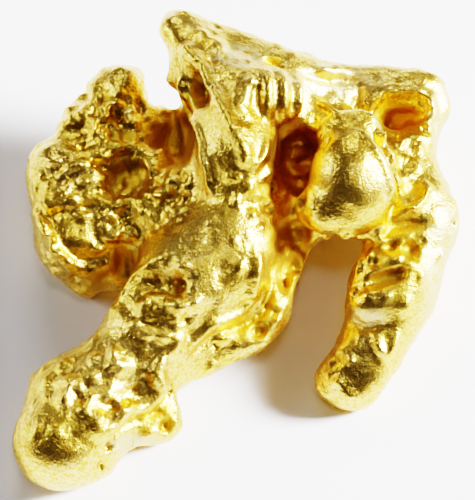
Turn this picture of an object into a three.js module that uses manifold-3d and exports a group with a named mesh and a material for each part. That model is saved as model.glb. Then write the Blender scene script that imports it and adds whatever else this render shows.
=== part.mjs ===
// A natural gold nugget: one knobbly, water-worn piece with a prong, an arm that turns down
// into a leg, a spongy side and a stubby foot. Lengths are in millimetres.

import {
	BoxGeometry, BufferAttribute, BufferGeometry, Group, Mesh, MeshStandardMaterial, Vector3
} from 'three';
import { MarchingCubes } from 'three/addons/objects/MarchingCubes.js';
import { ImprovedNoise } from 'three/addons/math/ImprovedNoise.js';
import { mergeVertices } from 'three/addons/utils/BufferGeometryUtils.js';
import Module from 'manifold-3d';

// The nugget leans back: its broad face looks forward and up, this far above level.
const faceLean = 60 * Math.PI / 180;
const faceSine = Math.sin( faceLean );
const faceCosine = Math.cos( faceLean );

const cell = 0.52; // size of one cell of the grid that the skin is drawn on
const cellsAcross = 46;
const gridCentre = new Vector3( 0, 10.4, 4.4 );
const blend = 0.9; // how far neighbouring lobes run into each other
const hollowBlend = 0.45; // how softly the rim of a hollow turns over
const lumpSize = 2.4; // distance between the small natural swellings
const lumpHeight = 0.16;
const mostTriangles = 40000;
const mergeDistance = 0.0005; // corners nearer than this are one corner
const slabSize = 40; // side of the block that wears the feet flat

const wasm = await Module();
wasm.setup();

const gold = new MeshStandardMaterial( { color: 0xd4a017, roughness: 0.3, metalness: 1 } );

// A point given by its distance across the face, its distance up the face and its height
// above the table. It comes back in the face's own axes: across, up, and out of the face.
function onFace( across, up, height ) {

	return new Vector3( across, up, ( height - up * faceCosine ) / faceSine );

}

// A point of the grid, in the face's own axes.
function toFace( x, y, z ) {

	return new Vector3( x, y * faceSine + z * faceCosine, z * faceSine - y * faceCosine );

}

// A round-ended limb through stations of [ across, up, height, radius ].
function limb( ...stations ) {

	const points = stations.map( ( [ across, up, height ] ) => onFace( across, up, height ) );
	const radii = stations.map( ( station ) => station[ 3 ] );
	const along = new Vector3();
	const offset = new Vector3();

	return ( point ) => {

		let nearest = Infinity;

		for ( let i = 1; i < points.length; i ++ ) {

			along.subVectors( points[ i ], points[ i - 1 ] );
			offset.subVectors( point, points[ i - 1 ] );
			const share = Math.min( 1, Math.max( 0, offset.dot( along ) / along.lengthSq() ) );
			const radius = radii[ i - 1 ] + share * ( radii[ i ] - radii[ i - 1 ] );
			nearest = Math.min( nearest, offset.addScaledVector( along, - share ).length() - radius );

		}

		return nearest;

	};

}

// A swelling or a hollow: an ellipsoid at [ across, up, height ], with half its width, length
// and thickness, turned on the face by some degrees.
function lobe( place, sizes, turn = 0 ) {

	const centre = onFace( ...place );
	const half = new Vector3( ...sizes );
	const turning = - turn * Math.PI / 180;
	const outOfFace = new Vector3( 0, 0, 1 );
	const offset = new Vector3();

	return ( point ) => {

		offset.subVectors( point, centre ).applyAxisAngle( outOfFace, turning ).divide( half );
		const reach = offset.length();
		const steepness = offset.divide( half ).length();
		return steepness > 0 ? reach * ( reach - 1 ) / steepness : - Math.min( ...sizes );

	};

}

const prong = [
	limb(
		[ - 2.9, 18.7, 6.6, 0.6 ], [ - 1.8, 17.4, 6.7, 1.15 ],
		[ - 0.8, 15.7, 6.7, 1.4 ], [ - 0.3, 13.3, 6.6, 1.4 ]
	),
	limb(
		[ - 2.3, 18.6, 6.4, 0.5 ], [ - 0.5, 17.9, 6.0, 0.8 ],
		[ 0.8, 17.2, 5.7, 0.9 ], [ 2.0, 16.4, 5.3, 0.9 ]
	),
	lobe( [ 0.9, 15.9, 5.4 ], [ 1.8, 1.7, 1.6 ], - 30 ),
	limb( [ - 1.4, 16.2, 5.0, 1.0 ], [ - 1.0, 14.0, 4.0, 1.6 ] ),
];

const arm = [
	limb( [ 1.6, 16.2, 4.9, 1.2 ], [ 3.8, 16.1, 4.5, 1.1 ], [ 6.0, 15.8, 4.2, 1.05 ] ),
	limb( [ 5.6, 16.0, 4.6, 1.0 ], [ 7.5, 15.6, 4.4, 0.9 ] ),
	lobe( [ 6.2, 14.0, 4.0 ], [ 1.4, 0.9, 1.0 ] ),
	lobe( [ 4.2, 14.6, 2.2 ], [ 2.4, 1.5, 2.2 ] ),
	limb( [ 5.4, 14.6, 2.4, 1.5 ], [ 6.4, 13.7, 1.2, 1.5 ] ),
];

const shoulder = [
	lobe( [ 4.3, 12.4, 5.75 ], [ 1.9, 2.25, 1.95 ], 8 ),
	limb( [ 2.6, 14.6, 4.6, 1.2 ], [ 4.0, 13.6, 4.6, 1.4 ] ),
	limb( [ 3.2, 11.3, 4.0, 1.0 ], [ 5.0, 11.2, 3.9, 0.9 ] ),
];

const leg = [
	limb(
		[ 7.0, 15.0, 4.3, 0.8 ], [ 6.5, 13.0, 4.4, 1.2 ],
		[ 7.1, 10.6, 3.8, 1.65 ], [ 6.1, 8.2, 2.9, 1.6 ]
	),
	limb( [ 6.1, 8.2, 2.9, 1.6 ], [ 5.4, 6.2, 1.9, 1.45 ], [ 4.4, 4.35, 1.1, 1.3 ] ),
	limb( [ 6.8, 11.8, 2.2, 1.5 ], [ 6.5, 9.2, 1.8, 1.3 ] ),
	lobe( [ 3.4, 4.5, 1.0 ], [ 0.7, 0.6, 0.7 ] ),
	lobe( [ 5.4, 8.3, 3.3 ], [ 1.1, 0.9, 1.0 ] ),
];

const middle = [
	lobe( [ - 0.2, 12.4, 4.6 ], [ 2.1, 2.6, 2.4 ] ),
	lobe( [ 2.2, 13.0, 3.0 ], [ 1.9, 2.1, 1.4 ] ),
	limb( [ 2.2, 11.4, 3.9, 1.1 ], [ 1.7, 9.6, 3.3, 0.95 ], [ 1.2, 7.9, 2.8, 0.8 ] ),
];

const sponge = [
	lobe( [ - 5.1, 16.0, 4.4 ], [ 1.2, 1.2, 1.1 ] ),
	limb( [ - 4.3, 16.6, 3.9, 0.4 ], [ - 4.3, 15.8, 3.9, 0.5 ] ),
	lobe( [ - 6.2, 14.8, 4.0 ], [ 1.2, 1.1, 1.1 ] ),
	limb( [ - 4.7, 14.6, 3.8, 1.2 ], [ - 2.8, 13.6, 3.4, 1.4 ] ),
	lobe( [ - 7.3, 12.6, 3.6 ], [ 1.6, 1.7, 1.5 ] ),
	lobe( [ - 4.9, 12.6, 3.8 ], [ 1.8, 1.7, 1.6 ] ),
	lobe( [ - 6.7, 10.4, 2.7 ], [ 1.9, 1.9, 1.8 ] ),
	limb( [ - 6.6, 9.6, 1.7, 1.4 ], [ - 6.3, 8.6, 0.9, 1.1 ] ),
	lobe( [ - 5.0, 9.2, 2.3 ], [ 1.1, 1.4, 1.0 ] ),
	lobe( [ - 4.4, 10.8, 3.0 ], [ 1.3, 1.3, 1.4 ] ),
	lobe( [ - 3.0, 11.6, 4.0 ], [ 1.6, 1.5, 1.6 ] ),
];

const belly = [
	limb( [ - 3.7, 6.5, 3.0, 1.8 ], [ - 2.2, 8.2, 3.8, 2.3 ], [ - 0.6, 9.8, 4.4, 2.1 ] ),
	limb(
		[ 1.1, 6.9, 2.4, 0.8 ], [ 0.2, 6.1, 2.2, 0.8 ],
		[ - 1.0, 5.6, 2.0, 0.8 ], [ - 1.8, 5.1, 1.8, 0.8 ]
	),
];

const foot = [
	limb( [ - 3.9, 5.6, 2.4, 1.75 ], [ - 5.6, 4.1, 1.9, 1.95 ], [ - 7.3, 2.0, 1.6, 2.0 ] ),
	lobe( [ - 7.0, 3.9, 1.8 ], [ 1.6, 1.4, 1.4 ] ),
	lobe( [ - 3.9, 2.8, 1.0 ], [ 1.7, 1.15, 0.9 ] ),
	lobe( [ - 5.9, 1.4, 0.9 ], [ 0.9, 0.9, 0.9 ] ),
];

const hollows = [
	lobe( [ 2.2, 13.0, 6.2 ], [ 1.1, 1.3, 2.3 ] ),
	lobe( [ - 4.7, 12.7, 5.6 ], [ 0.9, 0.85, 1.4 ] ),
	lobe( [ 6.1, 14.95, 5.2 ], [ 0.85, 0.55, 0.9 ] ),
	lobe( [ - 3.2, 8.3, 5.8 ], [ 0.9, 0.5, 0.6 ], 8 ),
];

const everyLobe = [ ...prong, ...arm, ...shoulder, ...leg, ...middle, ...sponge, ...belly, ...foot ];
const noise = new ImprovedNoise();

// Two distances run into one with a soft join of the given width.
function softMinimum( a, b, width ) {

	const overlap = Math.max( width - Math.abs( a - b ), 0 ) / width;
	return Math.min( a, b ) - overlap * overlap * width / 4;

}

// How deep a point lies inside the nugget; less than zero outside it.
function depthInside( x, y, z ) {

	const point = toFace( x, y, z );
	let distance = 10;

	for ( const distanceTo of everyLobe ) {

		distance = softMinimum( distance, distanceTo( point ), blend );

	}

	for ( const distanceTo of hollows ) {

		distance = - softMinimum( - distance, distanceTo( point ), hollowBlend );

	}

	return lumpHeight * noise.noise( x / lumpSize, y / lumpSize, z / lumpSize ) - distance;

}

// The nugget's skin, drawn where the depth is zero.
function skinGeometry() {

	const skin = new MarchingCubes( cellsAcross, gold, false, false, mostTriangles );
	const halfCells = cellsAcross / 2;
	skin.isolation = 0;

	for ( let k = 0; k < cellsAcross; k ++ ) {

		for ( let j = 0; j < cellsAcross; j ++ ) {

			for ( let i = 0; i < cellsAcross; i ++ ) {

				const x = gridCentre.x + ( i - halfCells ) * cell;
				const y = gridCentre.y + ( j - halfCells ) * cell;
				const z = gridCentre.z + ( k - halfCells ) * cell;
				skin.setCell( i, j, k, depthInside( x, y, z ) );

			}

		}

	}

	skin.update();

	const corners = skin.positionArray.slice( 0, skin.count * 3 );
	const geometry = new BufferGeometry();
	geometry.setAttribute( 'position', new BufferAttribute( corners, 3 ) );
	geometry.scale( halfCells * cell, halfCells * cell, halfCells * cell );
	geometry.translate( gridCentre.x, gridCentre.y, gridCentre.z );
	return geometry;

}

// A closed geometry as a solid that can be cut.
function solidFrom( geometry ) {

	geometry.deleteAttribute( 'normal' );
	geometry.deleteAttribute( 'uv' );
	const merged = mergeVertices( geometry, mergeDistance );
	const corners = merged.index.array;
	const kept = [];

	for ( let i = 0; i < corners.length; i += 3 ) {

		const [ a, b, c ] = corners.slice( i, i + 3 );
		if ( a !== b && b !== c && c !== a ) kept.push( a, b, c );

	}

	return new wasm.Manifold( new wasm.Mesh( {
		numProp: 3,
		vertProperties: merged.getAttribute( 'position' ).array,
		triVerts: new Uint32Array( kept ),
	} ) );

}

// The skin as one solid, its feet worn flat on the table plane.
function nuggetGeometry() {

	const slab = new BoxGeometry( slabSize, slabSize, slabSize );
	slab.translate( gridCentre.x, gridCentre.y, - slabSize / 2 );
	const whole = solidFrom( skinGeometry() ).subtract( solidFrom( slab ) );
	const { vertProperties, triVerts } = whole.getMesh();

	const geometry = new BufferGeometry();
	geometry.setAttribute( 'position', new BufferAttribute( vertProperties, 3 ) );
	geometry.setIndex( new BufferAttribute( triVerts, 1 ) );
	geometry.computeBoundingBox();
	const centre = geometry.boundingBox.getCenter( new Vector3() );
	geometry.translate( - centre.x, - centre.y, 0 );
	geometry.computeVertexNormals();
	return geometry;

}

const nugget = new Mesh( nuggetGeometry(), gold );
nugget.name = 'nugget';

const part = new Group();
part.add( nugget );

export default part;
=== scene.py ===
import math
import random

import bmesh
import bpy
import numpy as np
from mathutils import Matrix, Vector
from mathutils.bvhtree import BVHTree


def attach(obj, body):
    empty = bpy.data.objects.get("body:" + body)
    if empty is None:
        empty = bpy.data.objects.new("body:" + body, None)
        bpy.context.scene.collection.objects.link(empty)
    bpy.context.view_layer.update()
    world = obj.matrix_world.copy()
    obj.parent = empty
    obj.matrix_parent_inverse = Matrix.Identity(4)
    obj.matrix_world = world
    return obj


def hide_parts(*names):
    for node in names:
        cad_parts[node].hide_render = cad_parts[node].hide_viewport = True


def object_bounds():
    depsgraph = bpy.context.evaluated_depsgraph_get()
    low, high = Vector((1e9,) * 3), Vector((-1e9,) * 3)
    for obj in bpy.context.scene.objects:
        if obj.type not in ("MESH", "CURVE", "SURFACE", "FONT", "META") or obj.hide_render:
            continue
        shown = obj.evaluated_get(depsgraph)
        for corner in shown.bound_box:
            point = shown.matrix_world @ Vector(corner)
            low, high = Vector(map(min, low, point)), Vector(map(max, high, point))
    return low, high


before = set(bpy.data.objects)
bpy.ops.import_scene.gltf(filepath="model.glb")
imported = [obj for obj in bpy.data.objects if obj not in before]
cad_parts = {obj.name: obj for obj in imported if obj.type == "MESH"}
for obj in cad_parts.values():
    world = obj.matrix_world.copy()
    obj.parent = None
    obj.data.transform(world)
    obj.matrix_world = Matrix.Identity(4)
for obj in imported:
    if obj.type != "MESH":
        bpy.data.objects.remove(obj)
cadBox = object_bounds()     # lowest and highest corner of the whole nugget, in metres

# A natural gold nugget on a plain pale floor. It is modelled in millimetres, like clay,
# and scaled to metres when it is finished.

metre = 1000.0                      # millimetres in a metre
faceLean = math.radians(60)         # the broad face looks forward and up, this far above level
across = Vector((1, 0, 0))
upFace = Vector((0, math.sin(faceLean), math.cos(faceLean)))
outOfFace = Vector((0, -math.cos(faceLean), math.sin(faceLean)))
faceCorner = Vector((cadBox[0].x * metre, cadBox[0].y * metre, 0))   # places on the face start here
farOut = 40.0                       # millimetres in front of the face, where every look inwards starts
chance = random.Random(7)
relief = 1.35                       # how strongly every ridge, pit and bump stands out


def asArray(vector):
    return np.array(tuple(vector))


def uneven(places):                 # slow waves, -1 to 1, that keep outlines from being perfect ovals
    waves = ((5.1, 1.7, 2.9), (-2.3, 4.6, 3.1), (1.9, -3.7, 5.3))
    return sum(np.sin(places @ np.array(wave)) for wave in waves) / len(waves)


def bumpProfile(t):                 # round on top, fading out softly
    return (1 - t ** 2) ** 2


def bowlProfile(t):                 # round inside, with a crisp edge
    return 1 - t ** 2


def wellProfile(t):                 # steep sides and a flat floor
    return 1 - t ** 6


markLook = {                        # how the marks in the skin come out
    "ragged": 0.3,                  # unevenness of the edges of pits and bumps
    "gapRagged": 0.15,              # the same for gaps in the outline
    "gapPush": 0.85,                # 1 would push all of the skin out to the edge of a gap
    "lineStep": 0.08,               # millimetres from one look to the next along a line
    "ovals": (0.6, 1.0),            # length of a random mark for its width
    "strengths": (0.5, 1.2),        # height of a random mark for its usual one
    "frontEdge": 4,                 # how sharply a zone stops where the skin turns away from the front
}


class Clay:
    def __init__(self, mesh):
        self.piece = bpy.data.objects.new("nugget_surface", mesh)
        bpy.context.scene.collection.objects.link(self.piece)
        self.look()

    def look(self):                 # read the mesh again after it has changed
        mesh = self.piece.data
        self.places = np.empty(len(mesh.vertices) * 3)
        self.normals = np.empty(len(mesh.vertices) * 3)
        mesh.vertices.foreach_get("co", self.places)
        mesh.vertices.foreach_get("normal", self.normals)
        self.places = self.places.reshape(-1, 3)
        self.normals = self.normals.reshape(-1, 3)
        bm = bmesh.new()
        bm.from_mesh(mesh)
        self.tree = BVHTree.FromBMesh(bm)
        bm.free()

    def settle(self):               # put the moved vertices back into the mesh
        self.piece.data.vertices.foreach_set("co", self.places.ravel())
        self.piece.data.update()
        self.look()

    def remesh(self, voxel):
        modifier = self.piece.modifiers.new("even skin", "REMESH")
        modifier.mode = "VOXEL"
        modifier.voxel_size = voxel
        old = self.piece.data
        evaluated = self.piece.evaluated_get(bpy.context.evaluated_depsgraph_get())
        self.piece.data = bpy.data.meshes.new_from_object(evaluated)
        self.piece.modifiers.clear()
        bpy.data.meshes.remove(old)
        self.look()

    def soften(self, times, amount=0.5):
        bm = bmesh.new()
        bm.from_mesh(self.piece.data)
        for _ in range(times):
            bmesh.ops.smooth_vert(bm, verts=bm.verts, factor=amount,
                                  use_axis_x=True, use_axis_y=True, use_axis_z=True)
        bm.to_mesh(self.piece.data)
        bm.free()
        self.look()

    def dropCrumbs(self):           # keep only the biggest piece; a remesh can leave loose crumbs
        bm = bmesh.new()
        bm.from_mesh(self.piece.data)
        left = set(bm.verts)
        biggest = set()
        while left:
            start = left.pop()
            group, edge = {start}, [start]
            while edge:
                vertex = edge.pop()
                for link in vertex.link_edges:
                    other = link.other_vert(vertex)
                    if other not in group:
                        group.add(other)
                        edge.append(other)
            left -= group
            biggest = max(biggest, group, key=len)
        crumbs = [vertex for vertex in bm.verts if vertex not in biggest]
        bmesh.ops.delete(bm, geom=crumbs, context="VERTS")
        bm.to_mesh(self.piece.data)
        bm.free()
        self.look()
        print("crumbs dropped:", len(crumbs), "vertices")

    def find(self, a, v):           # the surface at a millimetres across and v up the face
        start = faceCorner + across * a + upFace * v + outOfFace * farOut
        place, normal, _, _ = self.tree.ray_cast(start, -outOfFace)
        return place, normal

    def bite(self, bites):          # make gaps in the outline by pushing the skin aside
        for a, v, halfAcross, halfUp, turn in bites:
            centre = asArray(faceCorner + across * a + upFace * v)
            first = Matrix.Rotation(math.radians(turn), 3, outOfFace) @ across
            second = outOfFace.cross(first)
            offset = self.places - centre
            x, y = offset @ asArray(first) / halfAcross, offset @ asArray(second) / halfUp
            t = np.hypot(x, y) * (1 + markLook["gapRagged"] * uneven(self.places))
            inside = (t < 1) & (t > 0.01)      # the very middle has no way to go
            push = (1 - t[inside]) * markLook["gapPush"] / t[inside]
            self.places[inside] += np.outer(x[inside] * push * halfAcross, asArray(first))
            self.places[inside] += np.outer(y[inside] * push * halfUp, asArray(second))
        self.settle()

    def addLobes(self, lobes):      # sink balls into the skin, for the next remesh to join
        bm = bmesh.new()
        bm.from_mesh(self.piece.data)
        for a, v, lift, halfAcross, halfUp, halfOut, turn in lobes:
            place, _ = self.find(a, v)
            if place is None:
                print("nothing under the lobe at", a, v)
                continue
            turned = Matrix.Rotation(math.radians(turn), 3, "Z")
            ball = bmesh.ops.create_icosphere(bm, subdivisions=3, radius=1)["verts"]
            bmesh.ops.scale(bm, vec=(halfAcross, halfUp, halfOut), verts=ball)
            bmesh.ops.rotate(bm, matrix=turned, verts=ball)
            bmesh.ops.rotate(bm, matrix=Matrix((across, upFace, outOfFace)).transposed(), verts=ball)
            bmesh.ops.translate(bm, vec=place + outOfFace * lift, verts=ball)
        bm.to_mesh(self.piece.data)
        bm.free()

    def pressAt(self, place, out, first, width, length, height, profile):
        offset = self.places - asArray(place)
        reach = (1 + markLook["ragged"]) * max(width, length)
        near = np.flatnonzero((offset ** 2).sum(axis=1) < reach ** 2)
        near = near[self.normals[near] @ asArray(out) > 0]
        offset = offset[near]
        second = out.cross(first)
        x, y = offset @ asArray(first) / width, offset @ asArray(second) / length
        t = np.sqrt(x ** 2 + y ** 2)
        t *= 1 + markLook["ragged"] * uneven(self.places[near])
        inside = t < 1
        self.places[near[inside]] += np.outer(height * profile(t[inside]), asArray(out))

    # Lean goes from 0, straight out of the skin, to 1, straight out of the broad face.
    def press(self, marks, profile, lean=0.5, strength=1.0):
        for a, v, width, length, turn, height in marks:
            height *= strength
            place, normal = self.find(a, v)
            if place is None:
                continue
            out = normal.lerp(outOfFace, lean).normalized()
            first = Matrix.Rotation(math.radians(turn), 3, outOfFace) @ across
            first = (first - out * first.dot(out)).normalized()
            self.pressAt(place, out, first, width, length, height, profile)
        self.settle()

    def trace(self, lines, profile, lean=0.4):   # raise or sink the skin along lines
        step = markLook["lineStep"]
        for width, height, corners in lines:
            samples = []
            for (a0, v0), (a1, v1) in zip(corners, corners[1:]):
                count = max(2, int(math.hypot(a1 - a0, v1 - v0) / step))
                for i in range(count):
                    samples.append((a0 + (a1 - a0) * i / count, v0 + (v1 - v0) * i / count))
            samples.append(corners[-1])
            found = [self.find(a, v) for a, v in samples]
            found = [(place, normal) for place, normal in found if place is not None]
            if not found:
                print("nothing under the line from", corners[0])
                continue
            line = np.array([tuple(place) for place, _ in found])
            ways = np.array([tuple(normal.lerp(outOfFace, lean).normalized()) for _, normal in found])
            low, high = line.min(axis=0) - width, line.max(axis=0) + width
            near = np.flatnonzero(((self.places > low) & (self.places < high)).all(axis=1))
            gaps = np.sqrt(((self.places[near][:, None] - line[None]) ** 2).sum(axis=2))
            nearest = gaps.argmin(axis=1)
            t = gaps[np.arange(len(near)), nearest] / width
            # a line thins out towards its ends
            ends = np.minimum(nearest + 1, len(line) - nearest) * step / (2 * width)
            inside = (t < 1) & ((self.normals[near] * ways[nearest]).sum(axis=1) > 0)
            amount = relief * height * profile(t[inside]) * np.minimum(1, ends[inside])
            self.places[near[inside]] += amount[:, None] * ways[nearest[inside]]
        self.settle()

    def inZones(self, zones):       # 1 in the inner half of a zone on the broad face, 0 outside
        offset = self.places - asArray(faceCorner)
        a, v = offset @ asArray(across), offset @ asArray(upFace)
        inside = np.zeros(len(self.places))
        for zoneAcross, zoneUp, halfAcross, halfUp in zones:
            t = np.hypot((a - zoneAcross) / halfAcross, (v - zoneUp) / halfUp)
            inside = np.maximum(inside, np.clip(2 - 2 * t, 0, 1))
        return inside * np.clip(self.normals @ asArray(outOfFace) * markLook["frontEdge"], 0, 1)

    # Random marks, in a circle on the broad face or else all over, but seldom where it is worn smooth.
    def scatter(self, count, sizes, height, profile, within=None):
        smooth = self.inZones(smoothZones)
        for _ in range(count):
            width = chance.uniform(*sizes)
            if within:
                a, v, radius = within
                angle, far = chance.uniform(0, 2 * math.pi), radius * math.sqrt(chance.random())
                place, out = self.find(a + far * math.cos(angle), v + far * math.sin(angle))
                if place is None:
                    continue
            else:
                vertex = chance.randrange(len(self.places))
                if chance.random() < smooth[vertex]:
                    continue
                place, out = Vector(self.places[vertex]), Vector(self.normals[vertex])
            first = out.orthogonal().normalized()
            first.rotate(Matrix.Rotation(chance.uniform(0, math.pi), 3, out))
            length = width * chance.uniform(*markLook["ovals"])
            amount = relief * height * width * chance.uniform(*markLook["strengths"])
            self.pressAt(place, out, first, width, length, amount, profile)
        self.settle()

    # For every vertex, 0 in the open and towards 1 deep inside a hollow. Each look starts a little off
    # the skin, in millimetres, and a wall as far away as the reach counts only partly.
    def shutIn(self, reach, rays, offSkin=0.03, leastFacing=0.2, farWall=0.5, evenings=3):
        golden = math.pi * (3 - math.sqrt(5))
        ways = []
        for i in range(rays):
            level = 1 - 2 * (i + 0.5) / rays
            ring = math.sqrt(1 - level ** 2)
            ways.append(Vector((ring * math.cos(golden * i), ring * math.sin(golden * i), level)))
        allFacing = self.normals @ np.array([tuple(way) for way in ways]).T
        shut = np.zeros(len(self.places))
        for vertex, facing in enumerate(allFacing):
            start = Vector(self.places[vertex]) + Vector(self.normals[vertex]) * offSkin
            seen = 0.0
            for i in np.flatnonzero(facing > leastFacing):
                seen += facing[i]
                _, _, _, distance = self.tree.ray_cast(start, ways[i], reach)
                if distance is not None:
                    shut[vertex] += facing[i] * (1 - farWall * distance / reach)
            shut[vertex] /= max(seen, 0.01)    # never by nothing
        edges = np.empty(len(self.piece.data.edges) * 2, dtype=np.int64)
        self.piece.data.edges.foreach_get("vertices", edges)
        first, second = edges.reshape(-1, 2).T
        count = np.bincount(edges, minlength=len(shut))
        for _ in range(evenings):    # even out the few rays
            total = np.bincount(first, shut[second], len(shut))
            total += np.bincount(second, shut[first], len(shut))
            shut = (shut + total / count) / 2
        return shut


def copyOfNugget():                 # the CAD shape in millimetres, its loose triangles joined
    bm = bmesh.new()
    bm.from_mesh(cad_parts["nugget"].data)
    bmesh.ops.scale(bm, vec=(metre, metre, metre), verts=bm.verts)
    bmesh.ops.remove_doubles(bm, verts=bm.verts, dist=0.001)
    mesh = bpy.data.meshes.new("nugget_surface")
    bm.to_mesh(mesh)
    bm.free()
    return mesh


clay = Clay(copyOfNugget())
print("copied the frame's nugget:", len(clay.places), "vertices")

# Each region of the nugget. Places are millimetres across and up the leaning face, turns are degrees,
# and a height below 0 goes inwards.
# lobes, balls sunk into the surface: across, up, lift, half sizes across, up and out of the face, turn
# bites, gaps in the outline: across, up, half sizes across and up, turn
# wells (steep hollows), dents (soft ones), bowls (crisp pits) and bumps:
#     across, up, half width, half length, turn, height
# lines (soft ridges and grooves) and rolls (rounder, crisper ridges): half width, height, corners
# grains, many random bumps or pits: count, half widths, height for its width, (across, up, radius)
prong = {
    "lobes": [
        (9.8, 16.3, -0.4, 1.9, 1.25, 1.0, -8),      # fluted swelling
        (6.5, 19.0, -0.45, 0.78, 0.7, 0.65, 0),      # rounded tip
        (6.75, 17.7, -0.75, 0.6, 1.4, 0.6, 8),       # left side below the tip
        (6.7, 16.95, -0.6, 0.7, 0.28, 0.3, 0),       # small tab on the left edge
    ],
    "wells": [
        (6.6, 14.6, 0.85, 1.5, 12, -0.95),           # trough beside the spongy side
    ],
    "dents": [(7.3, 16.5, 0.62, 1.2, 32, -1.2)],     # long hollow under the crest
    "bowls": [
        (10.4, 17.7, 0.6, 0.25, -20, -0.35),         # brown pit above the flutes
        (9.85, 15.5, 0.15, 0.2, 0, -0.25), (9.3, 17.6, 0.3, 0.2, 30, -0.12),
        (7.9, 17.8, 0.25, 0.35, 0, -0.12), (8.8, 18.2, 0.3, 0.2, 0, -0.1),
        (9.5, 18.0, 0.2, 0.25, 20, -0.1),
    ],
    "bumps": [
        (8.3, 18.3, 0.35, 0.6, 0, 0.15), (6.9, 18.2, 0.35, 0.45, 15, 0.15),
        (9.6, 16.9, 0.3, 0.5, 0, 0.1), (7.6, 18.9, 0.3, 0.2, 0, 0.1), (9.0, 15.9, 0.3, 0.4, 20, 0.12),
        (9.5, 14.6, 0.3, 0.4, 0, 0.12),
    ],
    "lines": [
        # crest
        (0.5, 0.3, [(6.7, 18.4), (7.6, 17.4), (8.1, 16.3), (8.5, 15.5), (9.2, 14.2), (9.6, 13.2)]),
        # edge of the trough
        (0.28, 0.25, [(6.6, 17.2), (6.9, 16.2), (7.5, 14.8), (7.8, 13.4), (8.0, 12.3)]),
    ],
    # flutes
    "rolls": [
        (0.36, 0.24, [(9.6, 17.4), (9.3, 16.5), (9.15, 15.5)]),
        (0.32, 0.24, [(10.15, 17.5), (10.2, 16.4), (10.15, 15.2)]),
        (0.3, 0.24, [(10.75, 17.4), (10.85, 16.4), (10.8, 15.2)]),
        (0.28, 0.22, [(11.3, 17.2), (11.45, 16.4), (11.4, 15.5)]),
    ],
    "grains": [(50, (0.1, 0.3), -0.35, (8.5, 17.6, 1.6)), (30, (0.1, 0.25), 0.35, (8.5, 16.8, 1.8))],
}
arm = {
    "lobes": [
        (16.1, 16.8, -0.6, 1.35, 0.7, 0.75, -5),     # brow over the hollow
        (13.0, 17.15, -0.6, 1.3, 0.6, 0.6, -8),      # low swelling on top
        (17.1, 16.0, -0.5, 0.6, 0.9, 0.6, 10),
        (15.6, 14.5, -0.35, 1.2, 0.4, 0.5, 5),       # lower lip of the hollow
    ],
    "wells": [(15.45, 15.35, 1.0, 0.5, 8, -0.5)],
    "bowls": [
        (15.2, 15.2, 0.5, 0.25, -20, -0.35), (16.55, 14.95, 0.13, 0.3, 20, -0.4),
        (13.65, 16.7, 0.18, 0.07, -45, -0.3), (15.3, 14.75, 0.25, 0.2, 0, -0.3),
        (14.9, 14.4, 0.2, 0.2, 0, -0.2),
    ],
    "bumps": [
        (12.6, 17.35, 0.9, 0.3, 0, 0.25), (15.1, 16.6, 0.5, 0.25, 15, 0.15),
        (16.8, 16.0, 0.22, 0.5, 10, 0.15), (14.75, 14.65, 0.25, 0.35, 20, 0.25),
        (15.6, 14.45, 0.2, 0.4, -30, 0.25), (16.25, 14.25, 0.3, 0.25, 0, 0.2),
    ],
    "lines": [
        # streak down to the shoulder
        (0.25, 0.3, [(12.0, 16.2), (12.6, 15.8), (13.2, 15.3)]),
        (0.3, 0.2, [(14.4, 15.2), (14.3, 15.9), (14.9, 16.4), (15.9, 16.6), (16.8, 16.3), (16.9, 15.6),
                    (16.4, 15.0)]),
        (0.2, -0.15, [(11.6, 17.2), (12.6, 16.95), (13.9, 16.95), (14.9, 17.15)]),
        (0.2, -0.2, [(13.9, 16.9), (13.9, 16.3), (13.6, 15.7)]),
    ],
    "grains": [(30, (0.1, 0.22), -0.3, (13.0, 16.4, 1.3)), (25, (0.1, 0.22), 0.35, (15.8, 14.6, 0.9))],
}
shoulder = {
    "lobes": [
        (13.6, 12.95, -1.35, 1.8, 2.2, 1.75, -4),
        (13.1, 11.8, -0.85, 1.95, 1.15, 1.2, 0),     # its lower half, square-cut above the arch
        (13.5, 14.9, -0.7, 1.4, 0.9, 0.8, 0),        # where it runs up into the arm
    ],
    "dents": [(14.3, 13.1, 0.9, 1.5, -5, -0.1)],     # flatter cheek on the right
    "bowls": [(12.5, 14.4, 0.25, 0.2, 0, -0.15), (12.1, 15.3, 0.2, 0.15, 30, -0.3)],
    "bumps": [(12.0, 11.7, 0.25, 0.5, 0, 0.12)],
    "lines": [
        # groove on its right
        (0.3, -0.45, [(14.2, 15.0), (14.9, 14.2), (15.35, 13.1), (15.45, 12.1), (15.0, 11.2)]),
        (0.2, 0.12, [(14.2, 14.5), (14.8, 13.6), (15.1, 12.7), (15.0, 11.9)]),
        # rim over the arch
        (0.2, 0.22, [(12.2, 10.9), (12.6, 10.6), (13.4, 10.75), (14.3, 10.7), (15.0, 11.1)]),
    ],
    "grains": [(25, (0.12, 0.35), -0.08, (12.8, 12.4, 1.3))],
}
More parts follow.
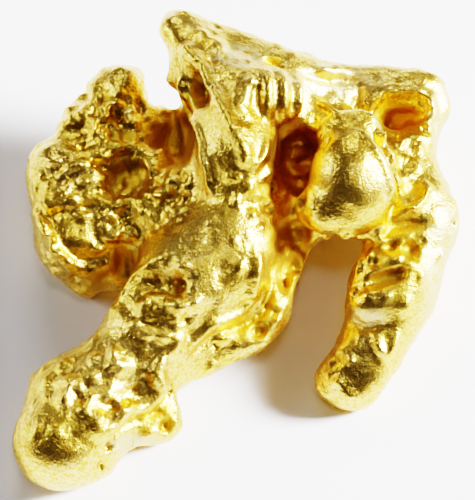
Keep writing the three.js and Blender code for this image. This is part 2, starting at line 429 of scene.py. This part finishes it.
# the deep hollow in the middle and the web below it
hollow = {
    "lobes": [
        (9.2, 12.9, -0.3, 0.7, 0.8, 0.5, 0),
    ],
    "wells": [
        (11.4, 13.85, 1.25, 1.05, 5, -1.2),          # the hollow itself
        (11.45, 12.75, 0.75, 0.7, 0, -1.2),
        (11.5, 14.5, 1.1, 0.42, 4, -0.5),            # under the overhang
        (11.15, 10.2, 0.9, 1.5, -14, -0.85),        # web beside the arch
    ],
    "dents": [(11.6, 13.6, 0.7, 0.5, 10, 0.5)],      # rounded mass inside it
    "bowls": [
        (10.45, 12.65, 0.2, 0.3, -30, -0.7),         # small orifice
        (10.2, 11.75, 0.18, 0.12, 0, -0.4), (11.5, 12.0, 0.25, 0.35, 0, -0.4),
        (11.3, 9.4, 0.35, 0.5, 0, -0.25), (11.8, 10.6, 0.3, 0.3, 0, -0.2),
        (10.9, 8.8, 0.25, 0.25, 0, -0.25),
    ],
    "bumps": [
        (9.0, 12.1, 0.3, 0.6, 5, 0.2), (9.5, 12.6, 0.25, 0.3, 0, 0.2), (9.9, 12.3, 0.3, 0.2, 20, 0.2),
        (9.6, 11.5, 0.3, 0.3, 0, 0.15), (8.6, 13.0, 0.3, 0.3, 0, 0.15), (9.2, 13.6, 0.25, 0.3, 0, 0.15),
    ],
    "lines": [
        (0.14, 0.2, [(9.9, 12.9), (10.2, 13.3), (10.7, 13.2), (11.0, 12.7), (10.8, 12.2), (10.3, 12.0),
                     (9.9, 12.3)]),
        (0.22, 0.2, [(10.2, 14.6), (10.0, 13.9), (9.6, 13.3)]),
    ],
    "grains": [(45, (0.1, 0.25), 0.4, (9.4, 12.3, 0.9)), (35, (0.1, 0.28), -0.35, (11.2, 10.3, 1.2)),
               (26, (0.08, 0.16), 0.5, (11.5, 14.0, 0.6))],
}
leg = {
    "lobes": [
        (14.6, 8.05, -0.45, 1.2, 0.75, 0.8, 12),     # knuckle
        (13.2, 5.0, -0.6, 0.75, 0.6, 0.6, 0),        # toe
        (14.2, 5.4, -0.8, 0.95, 1.1, 0.9, 20),       # smooth front above the toe
    ],
    "wells": [
        (15.5, 13.4, 0.33, 0.38, 0, -0.4), (15.8, 12.5, 0.4, 0.4, 0, -0.3),
    ],
    "bowls": [
        (17.65, 11.15, 0.2, 0.25, 0, -0.3),          # ringed pit on the outside
        (15.85, 10.15, 0.4, 0.38, 20, -0.35), (15.5, 9.3, 0.25, 0.2, 0, -0.3),
        (16.3, 10.4, 0.2, 0.2, 0, -0.25), (14.8, 9.0, 0.85, 0.4, 12, -0.35),
        (15.1, 10.3, 0.3, 0.25, 0, -0.3), (14.5, 9.6, 0.3, 0.2, 0, -0.25),
        (15.2, 8.3, 0.1, 0.1, 0, -0.15),
    ],
    "bumps": [
        (16.2, 13.5, 0.3, 0.3, 0, 0.2), (16.6, 12.6, 0.4, 0.35, 0, 0.2),
        (16.0, 11.8, 0.5, 0.25, 0, 0.2), (14.8, 10.5, 0.3, 0.25, 0, 0.25),
        (14.3, 9.9, 0.2, 0.4, -20, 0.2), (15.4, 9.8, 0.2, 0.2, 0, 0.25),
        (17.1, 9.9, 0.2, 0.4, -20, 0.15), (16.3, 9.1, 0.25, 0.3, -30, 0.15),
        (13.65, 8.4, 0.2, 0.35, 0, 0.15), (14.15, 8.35, 0.3, 0.25, 0, 0.12),
        (14.95, 8.3, 0.35, 0.2, 10, 0.12), (13.5, 5.7, 0.3, 0.3, 0, 0.2),
        (12.6, 5.3, 0.2, 0.2, 0, 0.15),
    ],
    "lines": [
        # orange groove below the shoulder
        (0.4, -0.25, [(14.5, 10.8), (15.2, 11.1), (16.0, 11.25), (16.7, 11.2)]),
        (0.2, 0.2, [(16.4, 13.0), (16.5, 12.2), (15.9, 11.7)]),
        # left rim
        (0.22, 0.2, [(14.2, 10.4), (13.9, 9.6), (13.7, 9.0)]),
        # crease under the knuckle
        (0.25, -0.22, [(13.5, 7.25), (14.2, 7.0), (15.0, 7.2)]),
    ],
    # V-shaped folds
    "rolls": [(0.22, 0.2, [(14.45, 6.8), (14.85, 5.7)]), (0.22, 0.2, [(15.4, 6.9), (14.95, 5.8)])],
    "grains": [(60, (0.08, 0.22), 0.5, (15.4, 10.0, 0.95)), (45, (0.08, 0.2), -0.45, (15.4, 10.0, 1.0)),
               (35, (0.08, 0.2), 0.55, (12.9, 5.2, 0.6)), (25, (0.1, 0.2), 0.5, (13.4, 6.5, 0.5)),
               (30, (0.1, 0.22), 0.4, (16.1, 12.4, 0.9)), (20, (0.1, 0.2), -0.4, (16.0, 13.2, 0.8))],
}
sponge = {
    "bites": [
        (2.5, 16.5, 0.6, 0.4, -20), (1.35, 15.15, 0.45, 0.35, -30),   # steps in the left edge
        # gap beside the prong
        (5.6, 17.0, 0.5, 1.2, 5), (3.45, 8.1, 0.3, 0.45, 0), (0.75, 12.4, 0.2, 0.2, 0),
    ],
    "lobes": [
        (2.8, 15.3, -0.6, 0.95, 0.85, 0.8, 30),      # grainy knob
        (4.3, 16.7, -0.8, 1.0, 0.95, 1.0, 0),        # slotted knob above it
        (2.3, 10.7, -0.6, 1.3, 0.9, 0.8, -20),       # smooth lump framed by a ridge
        (1.6, 13.9, -0.5, 0.9, 0.6, 0.7, 20),        # dark shelf over the left pit
        (5.0, 17.3, -0.5, 0.22, 0.3, 0.3, 0),        # nub on the slotted knob
        (4.2, 10.9, -0.3, 0.6, 0.7, 0.5, 0),         # pale patch beside the lump
    ],
    "wells": [
        (4.5, 13.2, 1.1, 0.95, 10, -0.3),            # crater
        (3.7, 16.4, 0.2, 0.42, -10, -0.3),           # slot
        (4.5, 14.55, 0.42, 0.17, 0, -0.3), (5.75, 15.0, 0.35, 0.35, 0, -0.3),
        (5.65, 14.4, 0.3, 0.25, 0, -0.25),
    ],
    "bowls": [
        (5.0, 15.8, 0.28, 0.2, 20, -0.4), (2.8, 14.3, 0.35, 0.15, 10, -0.4),
        (1.5, 13.0, 0.45, 0.17, 5, -0.35), (1.25, 10.5, 0.25, 0.25, 30, -0.35),
        (1.75, 10.3, 0.2, 0.15, 0, -0.35), (1.5, 10.85, 0.15, 0.2, 0, -0.3),
        (4.4, 11.6, 0.25, 0.2, 0, -0.3), (3.3, 13.5, 0.25, 0.3, 0, -0.25),
        (4.9, 16.0, 0.2, 0.2, 0, -0.2), (4.4, 9.6, 0.5, 0.9, 0, -0.3), (5.2, 12.0, 0.2, 0.15, 0, -0.3),
        (5.9, 12.9, 0.25, 0.2, 30, -0.35), (1.7, 9.4, 0.2, 0.2, 0, -0.2),
        (2.4, 9.0, 0.25, 0.2, 0, -0.25),
    ],
    "bumps": [
        (4.3, 16.55, 0.25, 0.25, 0, 0.15), (3.5, 14.6, 0.25, 0.25, 0, 0.2),
        (4.8, 15.2, 0.25, 0.35, 0, 0.25), (2.0, 12.4, 0.25, 0.3, 0, 0.2),
        (1.55, 12.6, 0.2, 0.2, 0, 0.15), (2.7, 13.3, 0.2, 0.15, 0, 0.15),
        (3.6, 10.8, 0.3, 0.5, 0, 0.15), (4.4, 12.9, 0.2, 0.2, 0, 0.15), (4.8, 13.3, 0.15, 0.2, 0, 0.15),
    ],
    "lines": [
        (0.15, 0.15, [(0.75, 12.9), (1.0, 12.2), (1.4, 11.7)]),
        (0.15, 0.12, [(1.15, 13.0), (1.35, 12.4), (1.8, 11.9)]),
        # ridge round the lump
        (0.3, 0.4, [(0.9, 11.7), (1.3, 10.9), (1.75, 10.1), (2.3, 9.4), (3.1, 9.2), (3.9, 9.4)]),
        (0.2, -0.2, [(1.6, 11.6), (2.6, 11.9), (3.6, 11.6)]),
        (0.2, 0.15, [(3.3, 9.1), (3.0, 8.6), (3.0, 8.3)]),
    ],
    "rolls": [
        # crescent under the crater
        (0.25, 0.2, [(3.0, 12.3), (3.9, 11.95), (4.8, 12.1)]),
        # ridge round the lump
        (0.28, 0.28, [(0.9, 11.6), (1.3, 10.9), (1.75, 10.1), (2.3, 9.5), (3.1, 9.3), (3.8, 9.6)]),
    ],
    "grains": [(40, (0.2, 0.42), 0.55, (2.8, 15.3, 1.1)), (60, (0.18, 0.4), 0.5, (5.9, 12.6, 1.5)),
               (40, (0.2, 0.42), 0.5, (2.2, 12.9, 1.3)), (30, (0.2, 0.4), 0.5, (3.8, 15.8, 1.1)),
               (30, (0.2, 0.4), 0.5, (3.9, 11.0, 1.0)), (50, (0.1, 0.3), -0.5, (6.0, 12.4, 1.4)),
               (50, (0.1, 0.25), -0.5, (4.2, 15.2, 1.3)), (40, (0.1, 0.25), 0.5, (4.4, 15.2, 1.3)),
               (45, (0.1, 0.25), 0.4, (2.6, 12.4, 1.3)), (40, (0.1, 0.25), -0.45, (2.4, 12.2, 1.4)),
               (40, (0.08, 0.22), 0.5, (1.8, 9.8, 0.9)),
               (30, (0.1, 0.25), -0.4, (4.45, 13.15, 0.9)), (20, (0.1, 0.25), 0.35, (4.3, 16.9, 0.9))],
}
belly = {
    "lobes": [
        # nodules beside the arch
        (10.4, 7.3, -0.2, 0.5, 0.45, 0.45, 0), (10.8, 8.1, -0.2, 0.4, 0.45, 0.4, 0),
        (9.8, 6.5, -0.2, 0.5, 0.35, 0.4, 30), (9.0, 6.2, -0.2, 0.45, 0.35, 0.4, 20),
        (8.6, 9.6, -1.3, 1.7, 1.9, 1.4, -35),
    ],
    "bowls": [
        # dark end of the bowl
        (6.75, 8.7, 0.3, 0.3, 0, -0.3), (8.05, 6.3, 0.15, 0.12, 0, -0.35),
        (7.6, 6.0, 0.16, 0.07, 20, -0.3), (9.85, 6.9, 0.3, 0.3, 0, -0.35),
        (10.1, 7.9, 0.2, 0.25, 0, -0.25), (10.5, 7.7, 0.2, 0.15, 0, -0.25),
        (5.4, 7.2, 0.25, 0.2, 0, -0.12), (6.9, 7.4, 0.3, 0.2, 20, -0.12),
    ],
    "dents": [
        (5.95, 8.7, 1.6, 0.9, 3, -0.45),             # bowl
        (7.9, 7.7, 0.5, 0.8, -20, -0.15),
    ],
    "bumps": [
        (5.9, 8.0, 0.4, 0.3, 0, 0.12), (4.3, 7.6, 0.2, 0.35, 0, 0.12),
        (5.35, 6.8, 0.45, 0.35, -20, 0.2), (6.4, 7.4, 0.4, 0.2, 0, 0.15),
        (7.4, 8.0, 0.2, 0.3, -20, 0.12), (6.5, 6.3, 0.3, 0.25, 0, 0.15),
        (9.9, 11.0, 0.35, 0.25, 20, 0.15), (9.1, 9.4, 0.25, 0.35, -15, 0.15),
        (9.4, 8.3, 0.3, 0.3, 0, 0.12), (8.9, 10.5, 0.3, 0.25, 0, 0.1), (6.0, 9.8, 0.45, 0.2, 20, 0.12),
        (9.8, 6.95, 0.13, 0.13, 0, 0.3),
    ],
    "lines": [
        # bright left edge
        (0.18, 0.18, [(5.5, 9.6), (4.9, 9.1), (4.5, 8.5), (4.3, 8.1)]),
        # undercut below its rim
        (0.2, -0.25, [(7.2, 6.0), (8.2, 6.75), (9.3, 7.15), (10.1, 7.7), (10.45, 8.8), (10.35, 9.9)]),
    ],
    # rim
    "rolls": [(0.3, 0.2, [(6.9, 6.2), (7.9, 7.1), (9.0, 7.6), (9.6, 8.2), (9.8, 9.2), (9.8, 10.2)])],
    "grains": [(22, (0.35, 0.6), 0.3, (5.8, 7.0, 1.3)), (15, (0.12, 0.3), 0.18, (5.8, 7.2, 1.4)),
               (18, (0.12, 0.3), -0.14, (5.8, 7.4, 1.6)), (30, (0.12, 0.3), -0.15, (8.6, 9.4, 1.4)),
               (30, (0.08, 0.22), 0.4, (10.3, 7.4, 0.8)),
               (20, (0.08, 0.2), -0.4, (10.1, 7.2, 0.8))],
}
foot = {
    "lobes": [
        (5.3, 2.9, -0.3, 1.2, 0.55, 0.4, 10),        # side fin
        (6.0, 3.4, -0.3, 0.6, 0.6, 0.4, 0),
    ],
    "wells": [(2.85, 4.4, 0.32, 0.25, 0, -0.4)],
    "bowls": [
        (3.6, 1.6, 0.2, 0.3, 10, -0.35), (3.85, 2.3, 0.25, 0.2, 30, -0.4),
        (6.1, 3.1, 0.2, 0.35, 0, -0.35), (3.35, 4.6, 0.2, 0.2, 0, -0.25),
        (4.8, 4.6, 0.25, 0.2, 0, -0.2), (4.0, 4.0, 0.3, 0.15, 0, -0.15),
    ],
    "dents": [(3.0, 2.9, 1.0, 0.35, 15, -0.12), (5.2, 3.75, 0.8, 0.25, 10, -0.2)],
    "bumps": [
        (2.75, 4.6, 0.14, 0.14, 0, 0.3), (4.0, 5.9, 0.3, 0.5, 0, 0.2), (4.3, 5.2, 0.35, 0.3, -30, 0.2),
        (2.0, 4.9, 0.6, 0.25, 20, 0.15), (1.1, 3.0, 0.25, 0.6, -20, 0.15),
        (2.2, 3.6, 0.25, 0.3, 0, 0.12), (3.2, 3.5, 0.3, 0.3, 0, 0.12), (3.2, 5.1, 0.3, 0.3, 0, 0.15),
        (1.4, 4.4, 0.2, 0.35, 0, 0.12), (5.5, 2.9, 0.35, 0.3, 0, 0.15), (6.5, 3.9, 0.25, 0.5, 15, 0.12),
    ],
    "lines": [
        (0.18, -0.25, [(6.45, 5.3), (6.3, 4.5), (5.9, 3.75), (5.0, 3.4), (4.2, 3.0), (3.85, 2.4)]),
    ],
    "rolls": [
        # S-shaped lip
        (0.42, 0.36, [(6.2, 5.9), (5.75, 5.3), (5.95, 4.6), (5.5, 4.1), (4.6, 3.75), (4.0, 3.2),
                      (3.5, 2.4)]),
    ],
    "grains": [(30, (0.35, 0.65), 0.3, (3.4, 4.6, 1.7)), (20, (0.12, 0.3), 0.2, (3.2, 4.4, 1.7)),
               (22, (0.12, 0.3), -0.15, (3.4, 4.6, 1.8)),
               (20, (0.1, 0.22), 0.35, (6.1, 3.6, 0.7))],
}
# places worn smooth: across, up, half width, half length
smoothZones = [
    (13.7, 13.1, 1.9, 2.2), (6.6, 19.0, 0.9, 0.9), (7.0, 15.2, 0.5, 2.0), (14.6, 8.1, 1.4, 0.9),
    (14.2, 5.2, 1.2, 1.2), (16.9, 8.6, 1.0, 3.0), (2.3, 10.8, 1.1, 0.8), (1.5, 14.1, 1.0, 0.5),
    (2.6, 1.6, 2.6, 1.1), (4.9, 3.6, 1.4, 0.4), (17.0, 16.2, 0.8, 1.2), (13.1, 16.9, 2.6, 0.9),
    (8.6, 9.0, 1.6, 1.6), (11.3, 10.2, 0.8, 1.6), (8.2, 18.6, 1.4, 0.8), (10.4, 16.3, 1.4, 1.2),
]
# places with rusty stains and painted shade in the recesses, the same way
stainAndShadeZones = [
    (6.7, 14.5, 0.9, 1.9), (11.4, 13.4, 1.5, 1.7), (11.2, 10.3, 1.0, 2.0), (4.45, 13.2, 1.2, 1.1),
    (5.8, 14.9, 0.8, 0.9), (4.4, 14.7, 0.9, 0.4), (3.7, 16.4, 0.3, 0.5), (15.4, 15.4, 1.1, 0.7),
    (15.7, 11.15, 1.4, 0.35), (15.4, 9.8, 0.9, 0.9), (14.8, 9.0, 0.9, 0.4), (15.8, 12.5, 0.5, 0.5),
    (4.6, 9.5, 1.0, 1.0), (3.3, 8.8, 0.7, 0.6), (6.2, 3.1, 0.4, 0.5), (5.4, 2.9, 0.6, 0.3),
    (10.4, 7.6, 0.7, 1.0), (9.4, 6.6, 0.9, 0.35), (13.4, 6.5, 0.6, 0.7), (9.9, 12.4, 0.9, 0.5),
    (15.5, 9.8, 1.6, 2.8), (10.9, 9.9, 1.6, 2.6), (9.6, 6.9, 1.4, 1.0), (5.8, 3.6, 1.2, 0.9),
    (7.4, 16.5, 0.45, 0.9), (10.4, 17.7, 0.6, 0.3), (3.3, 12.1, 1.2, 0.35), (1.4, 10.6, 0.5, 0.5),
]
# matt places, with a painted pale reflection in their colour, the same way
mattAndReflectionZones = [
    (13.0, 16.9, 2.4, 0.9), (17.4, 15.6, 0.8, 2.0), (17.3, 9.0, 1.1, 4.0), (9.0, 17.9, 1.4, 0.7),
    (5.0, 2.3, 1.6, 0.7), (14.0, 7.4, 1.2, 0.5),
]
regions = [prong, arm, shoulder, hollow, leg, sponge, belly, foot]

skinLook = {                        # lengths in millimetres
    "lumpVoxel": 0.18,              # once the lobes are on
    "lumpSoftening": 6,
    "hollowVoxel": 0.12,            # once the hollows are in
    "hollowSoftening": 2,
    "fineVoxel": 0.115,             # for the finished skin
    "bumps": (550, (0.2, 0.6), 0.2),       # all over: count, half widths, height for its width
    "pits": (300, (0.12, 0.35), -0.16),
    "hollowReach": 3.0,             # how far off a wall still closes a place in
    "hollowRays": 28,
}


def gather(kind):
    return [mark for region in regions for mark in region.get(kind, [])]


clay.addLobes(gather("lobes"))
clay.remesh(skinLook["lumpVoxel"])
clay.soften(skinLook["lumpSoftening"])
print("lobes joined:", len(clay.places), "vertices")

clay.bite(gather("bites"))
clay.press(gather("wells"), wellProfile, lean=0.9)
clay.press(gather("dents"), bumpProfile)
clay.remesh(skinLook["hollowVoxel"])
clay.soften(skinLook["hollowSoftening"])
print("hollows pressed:", len(clay.places), "vertices")

clay.trace(gather("lines"), bumpProfile)
clay.trace(gather("rolls"), bowlProfile)
clay.press(gather("bowls"), bowlProfile, strength=relief)
clay.press(gather("bumps"), bumpProfile, strength=relief)
for count, sizes, height, within in gather("grains"):
    clay.scatter(count, sizes, height, bumpProfile if height > 0 else bowlProfile, within)
clay.scatter(*skinLook["bumps"], bumpProfile)
clay.scatter(*skinLook["pits"], bowlProfile)
print("ridges, pits and bumps made")

clay.remesh(skinLook["fineVoxel"])
clay.dropCrumbs()
clay.soften(1, 0.4)
clay.places[:, 2] = np.maximum(clay.places[:, 2], cadBox[0].z * metre)   # not into the floor
clay.settle()
print("skin:", len(clay.places), "vertices")
print("reaches from", clay.places.min(axis=0), "to", clay.places.max(axis=0))

attributes = {
    # how shut in each place is; it also paints shade into the gold's colour
    "hollow": clay.shutIn(skinLook["hollowReach"], skinLook["hollowRays"]),
    "smooth": clay.inZones(smoothZones),
    "stainAndShade": clay.inZones(stainAndShadeZones),
    "mattAndReflection": clay.inZones(mattAndReflectionZones),
}
print("hollows and zones found")

bm = bmesh.new()                     # back to metres
bm.from_mesh(clay.piece.data)
bmesh.ops.scale(bm, vec=(1 / metre, 1 / metre, 1 / metre), verts=bm.verts)
for face in bm.faces:
    face.smooth = True
bm.to_mesh(clay.piece.data)
bm.free()
nugget = clay.piece
for name, values in attributes.items():
    nugget.data.attributes.new(name, "FLOAT", "POINT").data.foreach_set("value", values)


class Wire:                          # one output in a shader tree; arithmetic on it adds the nodes
    def __init__(self, tree, socket=None):
        self.tree, self.socket = tree, socket

    def node(self, kind, settings, inputs, output=0):
        added = self.tree.nodes.new(kind)
        for name, value in settings.items():
            setattr(added, name, value)
        for name, value in inputs.items():
            if isinstance(value, Wire):
                self.tree.links.new(value.socket, added.inputs[name])
            else:
                added.inputs[name].default_value = value
        return Wire(self.tree, added.outputs[output])

    def maths(self, operation, first, second):
        return self.node("ShaderNodeMath", {"operation": operation}, {0: first, 1: second})

    def __add__(self, other):
        return self.maths("ADD", self, other)

    def __radd__(self, other):
        return self.maths("ADD", other, self)

    def __sub__(self, other):
        return self.maths("SUBTRACT", self, other)

    def __rsub__(self, other):
        return self.maths("SUBTRACT", other, self)

    def __mul__(self, other):
        return self.maths("MULTIPLY", self, other)

    def __rmul__(self, other):
        return self.maths("MULTIPLY", other, self)

    def attribute(self, name):       # a value that the mesh carries
        return self.node("ShaderNodeAttribute", {"attribute_name": name}, {}, output="Fac")

    def ramp(self, low, high):       # 0 up to low, 1 from high on, smooth between
        return self.node("ShaderNodeMapRange", {"interpolation_type": "SMOOTHSTEP"},
                         {0: self, 1: low, 2: high, 3: 0.0, 4: 1.0})

    def blend(self, first, second):  # from the first colour to the second as this goes from 0 to 1
        inputs = {0: self, 6: first, 7: second}
        return self.node("ShaderNodeMix", {"data_type": "RGBA"}, inputs, output=2)

    def noise(self, size, detail=2.0, roughness=0.5):   # self is a place; size is in millimetres
        inputs = {"Vector": self, "Scale": metre / size, "Detail": detail, "Roughness": roughness}
        return self.node("ShaderNodeTexNoise", {}, inputs)


goldLook = {                         # sizes in millimetres
    "clean": (0.93, 0.62, 0.15, 1),   # clean gold
    "pale": (0.92, 0.65, 0.22, 1),    # paler patches
    "patchSize": 3.0,
    "deep": (0.7, 0.44, 0.07, 1),     # stained gold and painted shade down in the hollows
    "mottleSize": 0.9,                # how its edge wanders
    "dark": (0.66, 0.43, 0.07, 1),    # the specks between the grains
    "speckSize": 0.14,
    "paleReflection": (0.72, 0.58, 0.27, 1),   # painted pale reflection where it is matt
    "mattPatchSize": 0.35,
    "shine": 0.28,                    # roughness in the open
    "dull": 0.5,                      # roughness in the hollows
    "speckDull": 0.06,                # roughness that the specks add
    "mattDull": 0.15,                 # roughness that the matt places add
    "grainSize": 0.3,
    "grainHeight": 0.00006,           # metres
    "gritSize": 0.11,
    "gritHeight": 0.35,               # for the grain's height
}


def nativeGold():
    material = bpy.data.materials.new("native gold")
    material.use_nodes = True
    tree = material.node_tree
    shader = tree.nodes["Principled BSDF"]
    start = Wire(tree)
    place = start.node("ShaderNodeTexCoord", {}, {}, output="Object")
    hollow = start.attribute("hollow")
    smooth = start.attribute("smooth")
    stainAndShade = start.attribute("stainAndShade")
    mattAndReflection = start.attribute("mattAndReflection")
    mottle = place.noise(goldLook["mottleSize"], detail=3.0) - 0.5
    # painted shade: the colour goes towards the deep colour where the skin is shut in, and in the rusty
    # stain zones
    inside = (hollow + 0.5 * mottle + 0.55 * stainAndShade).ramp(0.36, 0.8)
    patches = place.noise(goldLook["patchSize"]).ramp(0.4, 0.65)
    colour = patches.blend(goldLook["clean"], goldLook["pale"])
    specks = place.noise(goldLook["speckSize"], detail=2.0, roughness=0.6).ramp(0.36, 0.58)
    colour = specks.blend(goldLook["dark"], colour)
    # painted reflection: the matt places get a paler colour as well as more roughness
    mattWithPaintedReflection = mattAndReflection * place.noise(goldLook["mattPatchSize"], detail=3.0).ramp(0.25, 0.6)
    colour = mattWithPaintedReflection.blend(colour, goldLook["paleReflection"])
    colour = inside.blend(colour, goldLook["deep"])
    grain = place.noise(goldLook["grainSize"], detail=4.0, roughness=0.6)
    grit = place.noise(goldLook["gritSize"], detail=2.0, roughness=0.6)
    # the grain is lower down in the hollows and where the gold is worn smooth
    height = grain * (1 - 0.2 * inside) * (1 - 0.5 * smooth) + goldLook["gritHeight"] * grit
    bump = start.node("ShaderNodeBump", {}, {"Height": height, "Distance": goldLook["grainHeight"]})
    roughness = goldLook["shine"] + inside * (goldLook["dull"] - goldLook["shine"])
    roughness = roughness + goldLook["speckDull"] * (1 - specks) + goldLook["mattDull"] * mattWithPaintedReflection
    shader.inputs["Metallic"].default_value = 1
    for name, wire in (("Base Color", colour), ("Roughness", roughness), ("Normal", bump)):
        tree.links.new(wire.socket, shader.inputs[name])
    return material


nugget.data.materials.clear()
nugget.data.materials.append(nativeGold())
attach(nugget, "root")
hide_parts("nugget")
print("gold made")

middle = (cadBox[0] + cadBox[1]) / 2

paperLook = {
    "colour": (0.93, 0.94, 1.0, 1),
    "roughness": 0.9,
    "gloss": 0.1,
    "halfSize": 0.6,                 # metres
}

floorMaterial = bpy.data.materials.new("white paper")
floorMaterial.use_nodes = True
paper = floorMaterial.node_tree.nodes["Principled BSDF"]
paper.inputs["Base Color"].default_value = paperLook["colour"]
paper.inputs["Roughness"].default_value = paperLook["roughness"]
paper.inputs["Specular IOR Level"].default_value = paperLook["gloss"]
floorBm = bmesh.new()
bmesh.ops.create_grid(floorBm, x_segments=1, y_segments=1, size=paperLook["halfSize"])
floorMesh = bpy.data.meshes.new("floor")
floorBm.to_mesh(floorMesh)
floorBm.free()
floor = bpy.data.objects.new("floor", floorMesh)
floorMesh.materials.append(floorMaterial)
bpy.context.scene.collection.objects.link(floor)

# degrees from the front round to the right, degrees above level, size across and up in metres,
# radiance, colour
lamps = {
    "key softbox": (93, 30, 0.12, 0.12, 300, (1, 0.98, 0.95)),
    "back softbox": (185, 45, 0.16, 0.14, 10, (1, 1, 1)),
    "front softbox": (10, 74, 0.06, 0.06, 26, (1, 1, 1)),
    "left softbox": (-100, 25, 0.1, 0.11, 30, (0.95, 0.97, 1)),
}
paperLamp = (93, 35, 0.12, 0.12, 90, (0.96, 0.97, 1))   # whitens the paper but not the gold
lampDistance = 0.5                   # metres from the middle of the nugget


def softbox(name, azimuth, elevation, width, height, radiance, colour):
    data = bpy.data.lights.new(name, "AREA")
    data.shape = "RECTANGLE"
    data.size, data.size_y = width, height
    data.energy = radiance * math.pi * width * height
    data.color = colour
    light = bpy.data.objects.new(name, data)
    a, e = math.radians(azimuth), math.radians(elevation)
    back = Vector((math.sin(a) * math.cos(e), -math.cos(a) * math.cos(e), math.sin(e)))
    light.location = middle + back * lampDistance
    light.rotation_mode = "QUATERNION"
    light.rotation_quaternion = back.to_track_quat("Z", "Y")
    light.visible_camera = False
    bpy.context.scene.collection.objects.link(light)
    return light


for name, settings in lamps.items():
    softbox(name, *settings)
floorOnly = bpy.data.collections.new("floor only")
floorOnly.objects.link(floor)
paperSoftbox = softbox("paper softbox", *paperLamp)
paperSoftbox.light_linking.receiver_collection = floorOnly
print("floor and lamps made")

picture = {
    "surroundings": (0.06, 0.058, 0.061, 1),
    "lens": 400,                     # millimetres, like the sensor
    "sensor": 36,
    "height": 0.020,                 # metres at the nugget, from the bottom to the top of the picture
    "forward": 0.0002,               # metres that the camera aims in front of the middle
    "nearest": 0.01,                 # metres, where the camera starts to see
    "look": "Very High Contrast",
    "exposure": -0.2,
    "gamma": 0.72,
    "glossyBounces": 8,              # gold lights gold deep in the hollows
    "bounces": 12,
}

world = bpy.data.worlds.new("studio")
world.use_nodes = True
world.node_tree.nodes["Background"].inputs["Color"].default_value = picture["surroundings"]
scene = bpy.context.scene
scene.world = world

camera = bpy.data.objects.new("camera", bpy.data.cameras.new("camera"))
camera.data.lens = picture["lens"]
camera.data.sensor_width = picture["sensor"]
camera.data.clip_start = picture["nearest"]
aim = middle + Vector((0, -picture["forward"], 0))
camera.location = aim + outOfFace * (picture["height"] * picture["lens"] / picture["sensor"])
camera.rotation_mode = "QUATERNION"
camera.rotation_quaternion = outOfFace.to_track_quat("Z", "Y")
scene.collection.objects.link(camera)
scene.camera = camera
scene.view_settings.view_transform = "Filmic"
scene.view_settings.look = picture["look"]
scene.view_settings.exposure = picture["exposure"]
scene.view_settings.gamma = picture["gamma"]
scene.cycles.glossy_bounces = picture["glossyBounces"]
scene.cycles.max_bounces = picture["bounces"]
print("camera placed")
